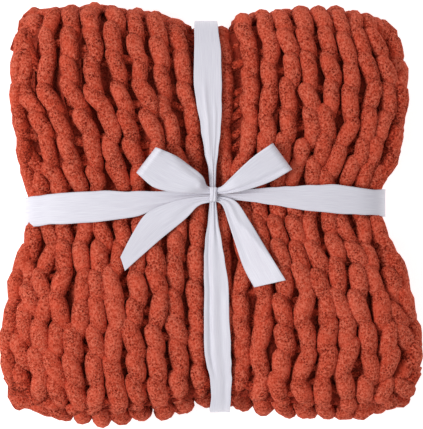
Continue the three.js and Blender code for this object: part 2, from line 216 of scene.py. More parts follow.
# ---- the form of the bundle ----------------------------------------------------------------
@dataclass(frozen=True)
class BundleForm:
    """The folded bundle's outer form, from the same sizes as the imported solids."""

    half_width: float = 0.200
    half_length: float = 0.203
    middle_height: float = 0.072
    crown: float = 0.076
    layers: int = 4
    floor_overshoot: float = 0.007
    ropes: int = 20
    rope_sway: float = 0.002
    tie_depth: float = 0.020
    tie_flat: float = 0.016
    tie_spread: float = 0.040
    channel_depth: float = 0.0055
    channel_rise: float = 0.016
    slit: float = 0.0026
    # Half width, or half length, of the bundle at places along the ribbon that it is measured from.
    left_edge: tuple = ((-0.135, 0.203), (-0.075, 0.194), (-0.018, 0.178), (0.018, 0.178), (0.060, 0.1865),
                        (0.115, 0.193))
    right_edge: tuple = ((-0.145, 0.2045), (-0.080, 0.191), (-0.018, 0.166), (0.018, 0.166), (0.052, 0.182),
                         (0.110, 0.190), (0.200, 0.187))
    top_edge: tuple = ((-0.115, 0.2035), (-0.052, 0.1965), (-0.017, 0.184), (0.017, 0.184), (0.046, 0.196),
                       (0.115, 0.201), (0.200, 0.198))
    bottom_edge: tuple = ((-0.170, 0.199), (-0.115, 0.2035), (-0.060, 0.198), (-0.017, 0.189), (0.017, 0.189),
                          (0.060, 0.196), (0.130, 0.198))
    corner_pull: tuple = ((0.100, 0.083), (0.120, 0.095))  # left (bottom, top), right (bottom, top)
    # How far the ropes stand out from their even places on the upper side, at a share of the length:
    # (share, in the middle, more towards the edge). On the left they run off over the edge.
    left_spread: tuple = ((-1, 0.030, -0.02), (-0.47, 0.050, -0.10), (-0.2, 0.050, -0.04),
                          (0.12, 0.025, 0.11), (0.31, 0.035, 0.14), (0.44, 0.060, 0.15),
                          (0.65, 0.090, 0.21), (1, 0.100, 0.23))
    right_spread: tuple = ((-0.95, -0.070, 0.09), (-0.47, -0.017, 0.0), (-0.1, 0.010, 0.02),
                           (0.11, 0.015, 0.035), (0.35, 0.040, 0.04), (0.65, 0.055, 0.06), (1, 0.040, -0.02))
    edge_stop: float = 0.985
    # The ribbons' middle lines: where they cross before the part was centred, the lengthwise one's slant
    # about a place, and how far the crosswise one sags towards its left and right ends.
    knot_place: tuple = (0.0022, 0.0182)
    slant: float = 0.028
    slant_pivot: float = 0.018
    sags: tuple = (0.0155, 0.0080)
    pressed_reach: float = 0.018

    def offset(self) -> Array:
        """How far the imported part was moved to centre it."""
        return box_centre("ribbon_knot")[:2] - np.array(self.knot_place)

    def lengthwise_x(self, y: Array) -> Array:
        """Where the lengthwise ribbon's middle line lies across, before the part was centred."""
        return self.knot_place[0] - self.slant * (y - self.slant_pivot)

    def crosswise_y(self, x: Array) -> Array:
        """Where the crosswise ribbon's middle line lies along, before the part was centred."""
        return self.knot_place[1] - np.where(x < 0, *self.sags) * smooth(np.abs(x) / self.half_width)

    def round_off(self, t: Array) -> Array:
        """Height share of the rounded form at a share of its half width."""
        return np.power(np.maximum(1.0 - np.power(np.minimum(np.abs(t), 1.0), 4), 0.0), 0.25)

    def valley(self, away: Array) -> Array:
        """1 along a ribbon, falling to 0 beside it."""
        return np.exp(-np.square(np.maximum(0.0, np.abs(away) - self.tie_flat) / self.tie_spread))

    def recess(self, away: Array) -> Array:
        """1 in the channel under the bundle, 0 outside it."""
        return 1.0 - smooth((np.abs(away) - self.tie_flat) / self.channel_rise)

    def sunk(self, u: Array, v: Array) -> Array:
        """How far the ribbons press the surface down at (u, v), from 0 to 1."""
        return np.maximum(self.valley(u * self.half_width), self.valley(v * self.half_length))

    def plan(self, u: Array, v: Array) -> tuple[Array, Array]:
        """Place in plan of the bundle's own coordinates.

        Args:
            u: share across, -1 to 1, 0 on the lengthwise ribbon.
            v: share along, -1 to 1, 0 on the crosswise ribbon.

        Returns:
            x and y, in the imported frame.
        """
        u, v = paired(u, v)
        near_u, near_v = np.minimum(np.abs(u), 1.0), np.minimum(np.abs(v), 1.0)
        left, right = self.corner_pull
        pull = np.where(u < 0, np.where(v < 0, *left), np.where(v < 0, *right))
        along, across = v * self.half_length, u * self.half_width
        half_x = np.where(u < 0, eased(self.left_edge, along), eased(self.right_edge, along))
        half_y = np.where(v < 0, eased(self.bottom_edge, across), eased(self.top_edge, across))
        hold_u, hold_v = 1.0 - near_u**2, 1.0 - near_v**2
        sway = self.rope_sway * np.sin(23 * u + 7 * v) * hold_u * hold_v
        x = self.lengthwise_x(along) * hold_u + u * half_x * (1.0 - pull * near_v**8 * near_u**3) + sway
        y = self.crosswise_y(across) * hold_v + v * half_y * (1.0 - pull * near_u**8 * near_v**3)
        move = self.offset()
        return x + move[0], y + move[1]

    def course(self, u: Array, v: Array) -> Array:
        """Where a rope lies at a place along the upper side. It can lie past the edge.

        Args:
            u: the rope's even share across.
            v: share along.

        Returns:
            Its share across there.
        """
        u, v = paired(u, v)
        left, right = (eased([row[:2] for row in table], v) + eased([row[::2] for row in table], v) * u * u
                       for table in (self.left_spread, self.right_spread))
        held = np.clip(np.abs(u) / 0.1, 0.0, 1.0) * (1.0 - np.power(np.minimum(np.abs(u), 1.0), 12))
        return np.where(u < 0, u - left, u + right * held)

    def outward(self, u: Array, v: Array, upper: bool) -> Array:
        """Outward direction of the rounded form.

        Args:
            u: share across.
            v: share along.
            upper: whether it is on the upper side.

        Returns:
            A direction of length 1 for each place.
        """
        u, v = paired(u, v)
        s = self.round_off(u) * self.round_off(v)
        rise = np.maximum(np.power(s, 3), 0.02) / self.crown * (1.0 if upper else -1.0)
        return unit(np.stack([u**3 / self.half_width, v**3 / self.half_length, rise], axis=-1))

    def top(self, share: Array, u: Array, v: Array) -> Array:
        """Height of the upper side, where its rounded form has the given share of its full height."""
        return self.middle_height + share * (self.crown - self.tie_depth * self.sunk(u, v))

    def channels(self, u: Array, v: Array) -> Array:
        """1 in the ribbon's channels under the bundle, 0 outside them."""
        return np.maximum(self.recess(u * self.half_width), self.recess(v * self.half_length))

    def surface(self, u: Array, v: Array, upper: bool) -> Array:
        """Points on the crowns of the ropes.

        Args:
            u: share across.
            v: share along.
            upper: whether they are on the upper side.

        Returns:
            The points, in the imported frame.
        """
        u, v = paired(u, v)
        x, y = self.plan(u, v)
        s = self.round_off(u) * self.round_off(v)
        low = self.middle_height - s * (self.middle_height + self.floor_overshoot)
        z = self.top(s, u, v) if upper else np.maximum(self.channel_depth * self.channels(u, v), low)
        return np.stack([x, y, z], axis=-1)

    def skin(self, u: Array, v: Array, upper: Array) -> tuple[Array, Array]:
        """Points and outward directions of the form, on both of its sides.

        Args:
            u: shares across.
            v: shares along.
            upper: whether each is on the upper side.

        Returns:
            The points and the directions.
        """
        mask = upper[..., None]
        points = np.where(mask, self.surface(u, v, True), self.surface(u, v, False))
        return points, np.where(mask, self.outward(u, v, True), self.outward(u, v, False))

    def slit_height(self, level: int, u: Array, v: Array) -> Array:
        """Height of the space above a layer.

        Args:
            level: the layer, counted from the floor.
            u: share across.
            v: share along.

        Returns:
            The height above the floor.
        """
        u, v = paired(u, v)
        held = self.round_off(np.clip(u, -0.85, 0.85)) * self.round_off(np.clip(v, -0.85, 0.85))
        share = level / self.layers
        return self.channel_depth * self.channels(u, v) * (1.0 - share) + self.top(held, u, v) * share

    def pressed(self, places: Array) -> Array:
        """Which places a ribbon presses on.

        Args:
            places: rows of x, y and z.

        Returns:
            1 right under a ribbon, falling to 0 away from both.
        """
        x, y = (places[:, :2] - self.offset()).T
        nearest = np.minimum(np.abs(x - self.lengthwise_x(y)), np.abs(y - self.crosswise_y(x)))
        return np.exp(-np.power(nearest / self.pressed_reach, 6))

    def own_coordinates(self, x: Array, y: Array) -> tuple[Array, Array]:
        """Finds (u, v) for places in plan, by a few corrections.

        Args:
            x: places across.
            y: places along.

        Returns:
            The shares u and v.
        """
        u = np.asarray(x, float) / self.half_width
        v = np.asarray(y, float) / self.half_length
        for _ in range(14):
            px, py = self.plan(u, v)
            u = np.clip(u + (x - px) / self.half_width, -1.0, 1.0)
            v = np.clip(v + (y - py) / self.half_length, -1.0, 1.0)
        return u, v

    def crown_height(self, x: Array, y: Array) -> Array:
        """Height of the ropes' crowns on the upper side, over places in plan."""
        u, v = self.own_coordinates(x, y)
        return self.surface(u, v, True)[..., 2]


# ---- finishes ------------------------------------------------------------------------------
class NodeTree:
    """Short ways to add and join nodes in a tree."""

    def __init__(self, tree: bpy.types.NodeTree) -> None:
        """Keeps the tree that is worked on."""
        self.tree = tree

    def fill(self, node: bpy.types.Node, inputs: dict) -> None:
        """Sets a node's inputs to values, or joins sockets to them.

        Args:
            node: the node.
            inputs: values or sockets, by the input's name or number.
        """
        for label, item in inputs.items():
            if isinstance(item, bpy.types.NodeSocket):
                self.tree.links.new(item, node.inputs[label])
            else:
                node.inputs[label].default_value = item

    def node(self, kind: str, inputs: dict | None = None, **settings: object) -> bpy.types.Node:
        """Adds a node.

        Args:
            kind: its type.
            inputs: values or sockets, by the input's name or number.
            settings: its properties.

        Returns:
            The node.
        """
        node = self.tree.nodes.new(kind)
        for key, value in settings.items():
            setattr(node, key, value)
        self.fill(node, inputs or {})
        return node


class NodeBoard(NodeTree):
    """The nodes of one material."""

    def __init__(self, name: str) -> None:
        """Starts a material with a principled shader.

        Args:
            name: the material's name.
        """
        self.material = bpy.data.materials.new(name)
        self.material.use_nodes = True
        super().__init__(self.material.node_tree)
        self.shader = self.tree.nodes["Principled BSDF"]

    def place(self) -> bpy.types.NodeSocket:
        """The piece's own coordinates, in metres."""
        return self.node("ShaderNodeTexCoord").outputs["Object"]

    def attribute(self, name: str) -> bpy.types.NodeSocket:
        """A number that the piece's mesh carries."""
        return self.node("ShaderNodeAttribute", attribute_name=name).outputs["Fac"]

    def noise(self, place: bpy.types.NodeSocket, size: float, detail: float = 2.0,
              rough: float = 0.5, twist: float = 0.0) -> bpy.types.NodeSocket:
        """Soft noise.

        Args:
            place: the coordinates to read.
            size: how far apart its lumps lie, in metres.
            detail: how many finer levels it has.
            rough: how strong those levels are.
            twist: how far it is pulled about.

        Returns:
            The socket with its value.
        """
        return self.node("ShaderNodeTexNoise", {
            "Vector": place, "Scale": 1.0 / size, "Detail": detail, "Roughness": rough,
            "Distortion": twist}).outputs["Fac"]

    def cells(self, place: bpy.types.NodeSocket, size: float) -> bpy.types.NodeSocket:
        """Distance to the nearest of many scattered points."""
        return self.node("ShaderNodeTexVoronoi", {"Vector": place, "Scale": 1.0 / size}).outputs["Distance"]

    def value(self, way: str, first: object, second: object) -> bpy.types.NodeSocket:
        """Arithmetic on two values or sockets."""
        return self.node("ShaderNodeMath", {0: first, 1: second}, operation=way).outputs[0]

    def about(self, value: bpy.types.NodeSocket, middle: float, gain: float) -> bpy.types.NodeSocket:
        """How far a value lies from a middle one, times a gain."""
        return self.value("MULTIPLY", self.value("SUBTRACT", value, middle), gain)

    def ramp(self, value: bpy.types.NodeSocket, stops: Sequence[tuple[float, tuple]]) -> bpy.types.NodeSocket:
        """Turns a value into a colour by a few stops.

        Args:
            value: the socket with the value.
            stops: places from 0 to 1, each with its colour.

        Returns:
            The socket with the colour.
        """
        node = self.node("ShaderNodeValToRGB", {"Fac": value})
        while len(node.color_ramp.elements) < len(stops):
            node.color_ramp.elements.new(0.5)
        for element, (at, colour) in zip(node.color_ramp.elements, stops):
            element.position = at
            element.color = (*colour, 1.0)
        return node.outputs["Color"]

    def relief(self, height: bpy.types.NodeSocket, depth: float) -> bpy.types.NodeSocket:
        """Raises the surface by a height map, whose full range is a depth in metres."""
        inputs = {"Distance": depth, "Strength": 1.0, "Height": height}
        return self.node("ShaderNodeBump", inputs).outputs["Normal"]


@dataclass(frozen=True)
class ChenilleFinish:
    """Cut-pile yarn: a curly nap, darker between its tufts, which stands out more in some patches.

    The yarn's tone, a painted shade from its depth beside its rope (darker deeper down, slightly lighter on
    the crest) and the nap add up to a level, which the stops turn into a colour from deep to tip.
    """

    name: str = "chenille_nap"
    deep: tuple = (0.160, 0.0082, 0.0042)
    body: tuple = (0.550, 0.062, 0.028)
    tip: tuple = (0.810, 0.176, 0.104)
    stops: tuple = (0.26, 0.54, 0.86)
    usual: float = 0.545
    tone_gain: float = 0.035
    # Painted shade: how far the level falls where the yarn lies deep beside its rope, and the depths over
    # which it goes from a slight painted highlight to that shade.
    painted_shade: float = 0.15
    painted_shade_range: tuple = (-0.0070, 0.0060)
    curl: float = 0.0023
    curl_gain: float = 1.30
    fleck: float = 0.0021
    fleck_gain: float = 0.50
    patch: float = 0.014
    patch_gain: float = -0.12
    patch_contrast: tuple = (2.2, -0.10)
    pile: float = 0.0015

    def material(self) -> bpy.types.Material:
        """Builds the node material.

        Returns:
            The material.
        """
        board = NodeBoard(self.name)
        place = board.place()
        curls = board.noise(place, self.curl, detail=3.0, rough=0.65, twist=1.1)
        patches = board.noise(place, self.patch, detail=1.0)
        grain = board.value("ADD", board.about(curls, 0.5, self.curl_gain),
                            board.about(board.cells(place, self.fleck), 0.42, self.fleck_gain))
        gain, base = self.patch_contrast
        contrast = board.value("ADD", board.value("MULTIPLY", patches, gain), base)
        tone = board.value("MULTIPLY", board.attribute("tone"), self.tone_gain)
        level = board.value("ADD", tone, self.usual)
        level = board.value("ADD", level, board.about(patches, 0.5, self.patch_gain))
        # Painted shade: the level falls where the yarn lies deeper than its rope's path and rises a little
        # above it.
        high, low = self.painted_shade_range
        sunk = board.node("ShaderNodeMapRange", {
            "Value": board.attribute("depth"), "From Min": high, "From Max": low,
            "To Min": 0.25 * self.painted_shade, "To Max": -self.painted_shade}, interpolation_type="SMOOTHSTEP")
        level = board.value("ADD", level, sunk.outputs["Result"])
        mixed = board.value("ADD", level, board.value("MULTIPLY", grain, contrast))
        board.fill(board.shader, {
            "Base Color": board.ramp(mixed, list(zip(self.stops, (self.deep, self.body, self.tip)))),
            "Roughness": 0.95, "Specular IOR Level": 0.06, "Sheen Weight": 0.10, "Sheen Roughness": 0.6,
            "Sheen Tint": (1.0, 0.36, 0.20, 1.0), "Normal": board.relief(mixed, self.pile)})
        return board.material


@dataclass(frozen=True)
class SatinFinish:
    """White satin: very fine lengthwise threads, a soft gloss and a cool white."""

    name: str = "white_satin"
    shade: tuple = (0.665, 0.645, 0.725)
    light: tuple = (0.755, 0.745, 0.81)
    thread: float = 0.0006
    stretch: float = 0.03
    thread_depth: float = 0.00006

    def material(self) -> bpy.types.Material:
        """Builds the node material.

        Returns:
            The material.
        """
        board = NodeBoard(self.name)
        along = board.value("MULTIPLY", board.attribute("along"), self.stretch)
        joined = board.node("ShaderNodeCombineXYZ", {"X": board.attribute("across"), "Y": along})
        threads = board.noise(joined.outputs["Vector"], self.thread)
        board.fill(board.shader, {
            "Base Color": board.ramp(threads, [(0.30, self.shade), (0.70, self.light)]),
            "Roughness": 0.46, "Specular IOR Level": 0.26, "Sheen Weight": 0.06, "Sheen Roughness": 0.35,
            "Normal": board.relief(threads, self.thread_depth)})
        return board.material


@dataclass(frozen=True)
class FloorFinish:
    """A pale, even studio floor."""

    name: str = "pale_floor"
    colour: tuple = (0.93, 0.93, 0.93)
    glow: float = 0.66
    grain: float = 0.05

    def material(self) -> bpy.types.Material:
        """Builds the node material.

        Returns:
            The material.
        """
        board = NodeBoard(self.name)
        shade = tuple(0.99 * part for part in self.colour)
        grain = board.noise(board.place(), self.grain)
        board.fill(board.shader, {
            "Base Color": board.ramp(grain, [(0.4, shade), (0.6, self.colour)]), "Roughness": 0.9,
            "Emission Color": (1.0, 1.0, 1.0, 1.0), "Emission Strength": self.glow})
        return board.material


# ---- the knit ------------------------------------------------------------------------------
class YarnTree(NodeTree):
    """Geometry nodes that sweep lumpy yarn along lines and press it flat on the floor."""

    def __init__(self, name: str) -> None:
        """Builds the tree: its inputs are the yarn's sides, lumps, seed, floor and finish.

        Args:
            name: the tree's name.
        """
        super().__init__(bpy.data.node_groups.new(name, "GeometryNodeTree"))
        face = self.tree.interface
        face.new_socket(name="Lines", in_out="INPUT", socket_type="NodeSocketGeometry")
        self.sockets = {}
        for label, kind in (("Sides", "Int"), ("Lump Height", "Float"), ("Lump Spacing", "Float"),
                            ("Seed", "Float"), ("Floor Height", "Float"), ("Finish", "Material")):
            item = face.new_socket(name=label, in_out="INPUT", socket_type="NodeSocket" + kind)
            self.sockets[label] = item.identifier
        face.new_socket(name="Yarn", in_out="OUTPUT", socket_type="NodeSocketGeometry")
        self._join_up(self.node("NodeGroupInput").outputs)

    def _carried(self, name: str, kind: str) -> bpy.types.NodeSocket:
        """A number or vector that the lines carry."""
        node = self.node("GeometryNodeInputNamedAttribute", {"Name": name}, data_type=kind)
        return node.outputs["Attribute"]

    def _vector(self, way: str, inputs: dict) -> bpy.types.Node:
        """Arithmetic on vectors."""
        return self.node("ShaderNodeVectorMath", inputs, operation=way)

    def _join_up(self, give: bpy.types.bpy_prop_collection) -> None:
        """Joins the steps: lines, sweep, lumps, floor, depth beside the rope (which the yarn finish turns
        into painted shade), smooth shading, finish.

        Args:
            give: the tree's own inputs.
        """
        lines = self.node("GeometryNodeMeshToCurve", {"Mesh": give["Lines"]})
        ring = self.node("GeometryNodeCurvePrimitiveCircle", {"Resolution": give["Sides"], "Radius": 1.0})
        swept = self.node("GeometryNodeCurveToMesh", {
            "Curve": lines.outputs["Curve"], "Profile Curve": ring.outputs["Curve"],
            "Scale": self._carried("thick", "FLOAT"), "Fill Caps": True})
        density = self.node("ShaderNodeMath", {0: 1.0, 1: give["Lump Spacing"]}, operation="DIVIDE")
        noise = self.node("ShaderNodeTexNoise", {
            "Vector": self.node("GeometryNodeInputPosition").outputs[0], "W": give["Seed"],
            "Scale": density.outputs[0], "Detail": 1.5}, noise_dimensions="4D")
        centred = self._vector("SUBTRACT", {0: noise.outputs["Color"], 1: (0.5, 0.5, 0.5)})
        lumps = self._vector("SCALE", {0: centred.outputs[0], "Scale": give["Lump Height"]})
        lumpy = self.node("GeometryNodeSetPosition", {
            "Geometry": swept.outputs["Mesh"], "Offset": lumps.outputs[0]})
        here = self.node("GeometryNodeInputPosition").outputs[0]
        parts = self.node("ShaderNodeSeparateXYZ", {0: here})
        lifted = self.node("ShaderNodeMath", {0: parts.outputs["Z"], 1: give["Floor Height"]},
                           operation="MAXIMUM")
        floored = self.node("ShaderNodeCombineXYZ", {
            "X": parts.outputs["X"], "Y": parts.outputs["Y"], "Z": lifted.outputs[0]})
        pressed = self.node("GeometryNodeSetPosition", {
            "Geometry": lumpy.outputs["Geometry"], "Position": floored.outputs[0]})
        # The depth beside the rope, stored for the yarn finish's painted shade.
        rope, outward = (self._carried(name, "FLOAT_VECTOR") for name in ("rope", "outward"))
        below = self._vector("SUBTRACT", {0: rope, 1: here})
        depth = self._vector("DOT_PRODUCT", {0: below.outputs[0], 1: outward})
        kept = self.node("GeometryNodeStoreNamedAttribute", {
            "Geometry": pressed.outputs["Geometry"], "Name": "depth", "Value": depth.outputs["Value"]},
            data_type="FLOAT", domain="POINT")
        soft = self.node("GeometryNodeSetShadeSmooth", {"Geometry": kept.outputs["Geometry"]})
        real = self.node("GeometryNodeRealizeInstances", {"Geometry": soft.outputs["Geometry"]})
        done = self.node("GeometryNodeSetMaterial", {
            "Geometry": real.outputs["Geometry"], "Material": give["Finish"]})
        self.node("NodeGroupOutput", {"Yarn": done.outputs["Geometry"]})

    def spin(self, name: str, lines: "YarnLines", values: dict) -> bpy.types.Object:
        """Sweeps yarn along lines and returns it as a plain mesh object.

        Args:
            name: the piece's name.
            lines: the lines, with their thickness and tone.
            values: the tree's inputs by name.

        Returns:
            The finished object, at the origin.
        """
        carrier = mesh_object(name + "_lines", lines.mesh(name + "_lines"))
        modifier = carrier.modifiers.new("yarn", "NODES")
        modifier.node_group = self.tree
        for label, value in values.items():
            modifier[self.sockets[label]] = value
        graph = bpy.context.evaluated_depsgraph_get()
        mesh = bpy.data.meshes.new_from_object(carrier.evaluated_get(graph), depsgraph=graph)
        mesh.name = name
        carrier.modifiers.remove(modifier)
        bpy.data.objects.remove(carrier)
        return mesh_object(name, mesh)


@dataclass
class YarnLines:
    """Lines for the yarn, each a row of points with a thickness, one tone and its place on a rope."""

    points: list = field(default_factory=list)
    thick: list = field(default_factory=list)
    tone: list = field(default_factory=list)
    rope: list = field(default_factory=list)
    out: list = field(default_factory=list)

    def add(self, points: Array, thick: Array, tone: float, rope: Array, out: Array) -> None:
        """Adds one line.

        Args:
            points: its points.
            thick: the yarn's half thickness at each.
            tone: from -1 for a darker yarn to 1 for a lighter one.
            rope: the points of the rope's own path beside them.
            out: the outward directions there.
        """
        self.points.append(points)
        self.thick.append(thick)
        self.tone.append(np.full(len(points), tone))
        self.rope.append(rope)
        self.out.append(out)

    def mesh(self, name: str) -> bpy.types.Mesh:
        """Makes a mesh of edges that carries the lines.

        Args:
            name: the mesh's name.

        Returns:
            The mesh.
        """
        edges = []
        start = 0
        for line in self.points:
            edges += [(start + k, start + k + 1) for k in range(len(line) - 1)]
            start += len(line)
        mesh = bpy.data.meshes.new(name)
        mesh.from_pydata(np.concatenate(self.points).tolist(), edges, [])
        carried = {"thick": self.thick, "tone": self.tone, "rope": self.rope, "outward": self.out}
        for label, values in carried.items():
            store(mesh, label, np.concatenate(values))
        return mesh


@dataclass(frozen=True)
class RopePath:
    """The line that a rope of stitches follows, with its outward direction."""

    points: Array
    out: Array
    run: Array
    step: ClassVar[float] = 0.002

    @classmethod
    def along(cls, points: Array, out: Array) -> "RopePath":
        """Rounds a rough line and spaces its points evenly.

        Args:
            points: the line.
            out: the outward direction at each point.

        Returns:
            The path.
        """
        points, out, _ = resampled(points, out, cls.step)
        return cls(*resampled(softened(points, 5), unit(softened(out, 6)), cls.step))

    def length(self) -> float:
        """Length of the path."""
        return float(self.run[-1])

    def at(self, run: Array) -> tuple[Array, Array, Array]:
        """Reads the path at distances along it.

        Args:
            run: the distances.

        Returns:
            The points, the outward and the sideways directions.
        """
        points, ahead, behind = (read_rows(run + move, self.run, self.points)
                                 for move in (0.0, self.step, -self.step))
        out = unit(read_rows(run, self.run, self.out))
        return points, out, unit(np.cross(unit(ahead - behind), out))


@dataclass
class Knit:
    """The knitted cloth: ropes of overlapping stitches on the folded body."""

    form: BundleForm
    yarn: float = 0.0088
    slim: float = 0.90
    slim_start: float = 0.01
    slim_ease: float = 0.12
    stitch: float = 0.0265
    overlap: float = 0.0072
    tuck: float = 0.0080
    head: float = 0.0014
    start_dip: float = 0.0016
    # Where on a stitch it tucks under (start, length) and has its head (place, reach), and its start's reach.
    tuck_stretch: tuple = (0.55, 0.45)
    head_stretch: tuple = (0.24, 0.16)
    start_reach: float = 0.12
    bow: float = 0.0016
    drift: float = 0.0050
    wander: float = 0.0015
    backward_share: float = 0.14
    # Ranges of the draws: a stitch's length, where it starts, its overlap, lean, girth and tuck.
    length_range: tuple = (0.96, 1.05)
    joint_range: tuple = (-0.17, 0.17)
    overlap_range: tuple = (0.8, 1.35)
    drift_range: tuple = (0.45, 1.3)
    edge_drift_range: tuple = (0.5, 1.3)
    girth_range: tuple = (0.92, 1.07)
    tuck_range: tuple = (0.85, 1.15)
    # Chance that a stitch leans the other way: everywhere, and more towards the near right.
    flip: float = 0.14
    flip_near_right: float = 0.56
    near_right: tuple = (0.04, 0.05)
    near_ease: float = 0.08
    edge_start: float = 0.160
    edge_ease: float = 0.016
    rung: float = 0.0047
    rung_depth: float = 0.0062
    rung_pressed: float = 0.0030
    rung_skip: float = 0.22
    rung_sag: float = 0.0010
    rung_swell: tuple = (0.8, 1.0, 0.97, 0.97, 1.0, 0.8)
    rung_place_range: tuple = (-0.33, 0.33)
    rung_slant_range: tuple = (-0.010, 0.006)
    rung_depth_range: tuple = (0.8, 1.5)
    rung_girth_range: tuple = (0.85, 1.15)
    body_depth: float = 0.0125
    into_slit: float = 0.80
    fold_end: float = 0.93
    joint_gap: float = 0.003
    press: float = 0.0028
    press_straight: float = 0.85
    seed: int = 11
    # Along a stitch: places, and its thickness there as a share of the yarn's.
    rings: tuple = (0.0, 0.04, 0.12, 0.26, 0.42, 0.58, 0.74, 0.89, 1.0)
    swell: tuple = (0.26, 0.60, 0.88, 1.02, 1.06, 1.02, 0.90, 0.66, 0.28)

    def __post_init__(self) -> None:
        """Starts the seeded draws."""
        self.draw = np.random.default_rng(self.seed)

    # -- paths --
    def _skin(self, u: float, low: float, high: float, spread: Callable) -> tuple[Array, Array]:
        """Points a yarn's half thickness inside the skin, between two angles of the section.

        Args:
            u: the rope's even share across.
            low: first angle; 0 is the far end, a quarter turn the top.
            high: last angle.
            spread: how much of the upper side's spread it has at an angle.

        Returns:
            The points and their outward directions.
        """
        angle = np.linspace(low, high, 260)
        cosine = np.cos(angle)
        v = np.sign(cosine) * np.sqrt(np.abs(cosine))
        across = u + (self.form.course(u, v) - u) * spread(angle)
        held = np.clip(across, -self.form.edge_stop, self.form.edge_stop)
        points, out = self.form.skin(held, v, np.sin(angle) >= 0)
        points = points - out * self.yarn
        lowest = self.form.slit_height(3, held, v) + self.form.slit / 2 + self.yarn
        height = points[:, 2]
        fallen = height - np.abs(across - held) * self.form.half_width
        points[:, 2] = np.where(across == held, height, np.minimum(height, np.maximum(fallen, lowest)))
        return points, out

    def _wall(self, u: float, level: int, side: int, start: float, stop: float) -> tuple[Array, Array]:
        """Points along one wall of the space between two layers.

        Args:
            u: the rope's even share across.
            level: the space, counted from the floor.
            side: 1 over the space, -1 under it.
            start: share along at which it starts.
            stop: share along at which it ends.

        Returns:
            The points and their outward directions.
        """
        v = np.linspace(start, stop, 12)
        across = self.form.course(u, v) if level > 1 else u + 0 * v
        edge = self.form.edge_stop - self.yarn / self.form.half_width
        across = np.clip(across, -edge, edge)
        x, y = self.form.plan(across, v)
        z = self.form.slit_height(level, across, v) + side * (self.form.slit / 2 + self.yarn)
        out = np.zeros((len(v), 3))
        out[:, 2] = -side
        return np.stack([x, y, z], axis=1), out

    def turn_path(self, u: float, turn: Turn) -> RopePath:
        """The way of one rope over one stretch of the folded cloth.

        Args:
            u: the rope's even share across.
            turn: which stretch of the cloth.

        Returns:
            Its path.
        """
        near, far, deep, gap = -self.fold_end, self.fold_end, self.into_slit, self.joint_gap
        if turn is Turn.TOP:
            first, first_out = self._wall(u, 2, 1, deep, far)
            skin, out = self._skin(u, -0.9, math.pi + 0.9, lambda angle: 1.0 + 0 * angle)
            last, last_out = self._wall(u, 3, 1, near, -deep)
            keep = skin[:, 2] > np.where(skin[:, 1] > 0, first[-1, 2], last[0, 2]) + gap
        elif turn is Turn.MIDDLE:
            first, first_out = self._wall(u, 3, -1, -deep, near)
            skin, out = self._skin(u, math.pi - 1.2, math.pi + 1.2,
                                   lambda angle: smooth((math.pi + 0.5 - angle) / 1.0))
            last, last_out = self._wall(u, 1, 1, near, -deep)
            keep = (skin[:, 2] < first[-1, 2] - gap) & (skin[:, 2] > last[0, 2] + gap)
        else:
            first, first_out = self._wall(u, 1, -1, -deep, near)
            skin, out = self._skin(u, math.pi - 0.3, 2 * math.pi + 0.6,
                                   lambda angle: smooth((angle - 2 * math.pi + 0.5) / 1.0))
            last, last_out = self._wall(u, 2, -1, far, deep)
            keep = skin[:, 2] < np.where(skin[:, 1] < 0, first[-1, 2], last[0, 2]) - gap
        return RopePath.along(np.concatenate([first, skin[keep], last]),
                              np.concatenate([first_out, out[keep], last_out]))

    def side_path(self, side: int, level: int, above: int) -> RopePath:
        """The way of a rope along the side of one layer.

        Args:
            side: -1 for the left side, 1 for the right.
            level: the space that it runs beside.
            above: 1 over that space, -1 under it.

        Returns:
            Its path.
        """
        v = np.linspace(0.9, -0.9, 90)
        x, y = self.form.plan(side, v)
        z = self.form.slit_height(level, side * self.form.edge_stop, v)
        z = z + above * (self.form.slit / 2 + self.yarn)
        points = np.stack([x - side * self.yarn, y, z], axis=1)
        out = np.zeros((len(v), 3))
        out[:, 0] = side
        return RopePath.along(points, out)

    # -- yarn on a path --
    def _sway(self, path: RopePath) -> Callable:
        """A slow, uneven sideways wander of one rope.

        Args:
            path: the rope's way.

        Returns:
            How far it lies to the side, as a function of the distance run.
        """
        turn, ease = 6.28, 0.04  # about a whole turn, and the length over which the sway starts and ends
        waves = [(self.draw.uniform(0.055, 0.15), self.draw.uniform(0, turn), self.draw.uniform(0.4, 1.0))
                 for _ in range(3)]
        edge = path.length()

        def sway(run: Array) -> Array:
            """How far the rope lies to the side.

            Args:
                run: distances along it.

            Returns:
                The distance at each.
            """
            held = smooth(run / ease) * smooth((edge - run) / ease)
            return held * self.wander * sum(part * np.sin(turn * run / size + phase)
                                            for size, phase, part in waves)

        return sway

    def _drift(self, place: Array) -> float:
        """How far a stitch leans: most at the outer edges, where the yarn turns back into the cloth.

        Args:
            place: its middle.

        Returns:
            The distance, in metres.
        """
        edge = float(smooth((abs(place[0]) - self.edge_start) / self.edge_ease))
        usual = self.draw.uniform(*self.drift_range)
        return self.drift * (usual + edge * self.draw.uniform(*self.edge_drift_range))

    def _slant(self, place: Array, usual: float) -> float:
        """The side to which a stitch leans: the usual one, but often the other towards the near right.

        Args:
            place: its middle.
            usual: -1 or 1.

        Returns:
            -1 or 1.
        """
        x, y = self.near_right
        near_right = smooth((place[0] - x) / self.near_ease) * smooth((-place[1] - y) / self.near_ease)
        chance = self.flip + self.flip_near_right * float(near_right)
        return -usual if self.draw.random() < chance else usual

    def _thickness(self, points: Array) -> Array:
        """The yarn's half thickness: slimmer where it is stretched, in the far half."""
        near = smooth((self.slim_start - points[:, 1]) / self.slim_ease)
        return self.yarn * (self.slim + (1 - self.slim) * near)

